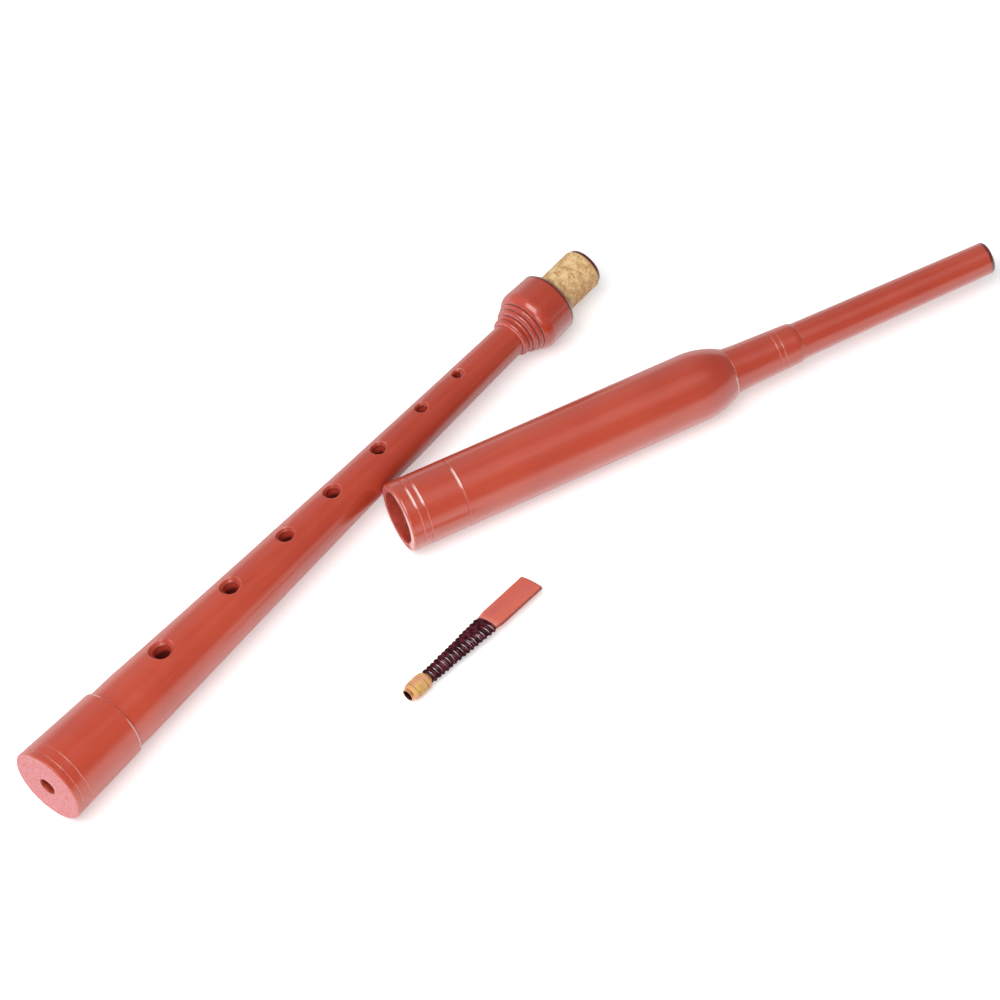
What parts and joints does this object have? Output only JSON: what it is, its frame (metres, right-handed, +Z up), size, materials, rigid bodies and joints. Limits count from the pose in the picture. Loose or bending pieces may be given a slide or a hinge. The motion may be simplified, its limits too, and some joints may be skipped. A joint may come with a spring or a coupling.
{
  "type": "practice chanter",
  "caption": "Practice chanter taken apart: a tapered pipe with countersunk finger holes, a barrel with mouthpiece, and a bound double reed lying beside them.",
  "frame": {"origin": "bottom centre of the bounding box of all three loose groups, on the surface they lie on", "axes": "+X along the chanter from its sole to its tenon, +Z up from the surface, +Y across"},
  "size_m": [0.3172, 0.1098, 0.0241],
  "materials": {
    "red_wood": "smooth red lacquer, soft sheen",
    "cork": "sanded natural cork",
    "hemp": "waxed yellow hemp",
    "staple_metal": "dull copper brown",
    "blade_plastic": "translucent red, satin",
    "thread": "waxed dark thread"
  },
  "bodies": {
    "chanter": {"chanter_body": "red_wood", "tenon_cork": "cork"},
    "top_joint": {"top_barrel": "red_wood"},
    "mouthpiece": {"mouthpiece_neck": "red_wood", "neck_tenon_hemp": "hemp", "mouthpiece_stem": "red_wood"},
    "reed": {"reed_staple": "staple_metal", "reed_base_wrap": "hemp", "reed_blade_upper": "blade_plastic", "reed_blade_lower": "blade_plastic", "reed_binding": "thread"}
  },
  "joints": [
    {"name": "top_joint_lift", "type": "slide", "parent": "chanter", "child": "top_joint", "axis": [0, 0, 1], "range_m": [0, 0.06]},
    {"name": "mouthpiece_pull", "type": "slide", "parent": "top_joint", "child": "mouthpiece", "axis": [0.9219, -0.3875, -0.0021], "range_m": [0, 0.025]},
    {"name": "reed_lift", "type": "slide", "parent": "chanter", "child": "reed", "axis": [0, 0, 1], "range_m": [0, 0.04]}
  ]
}
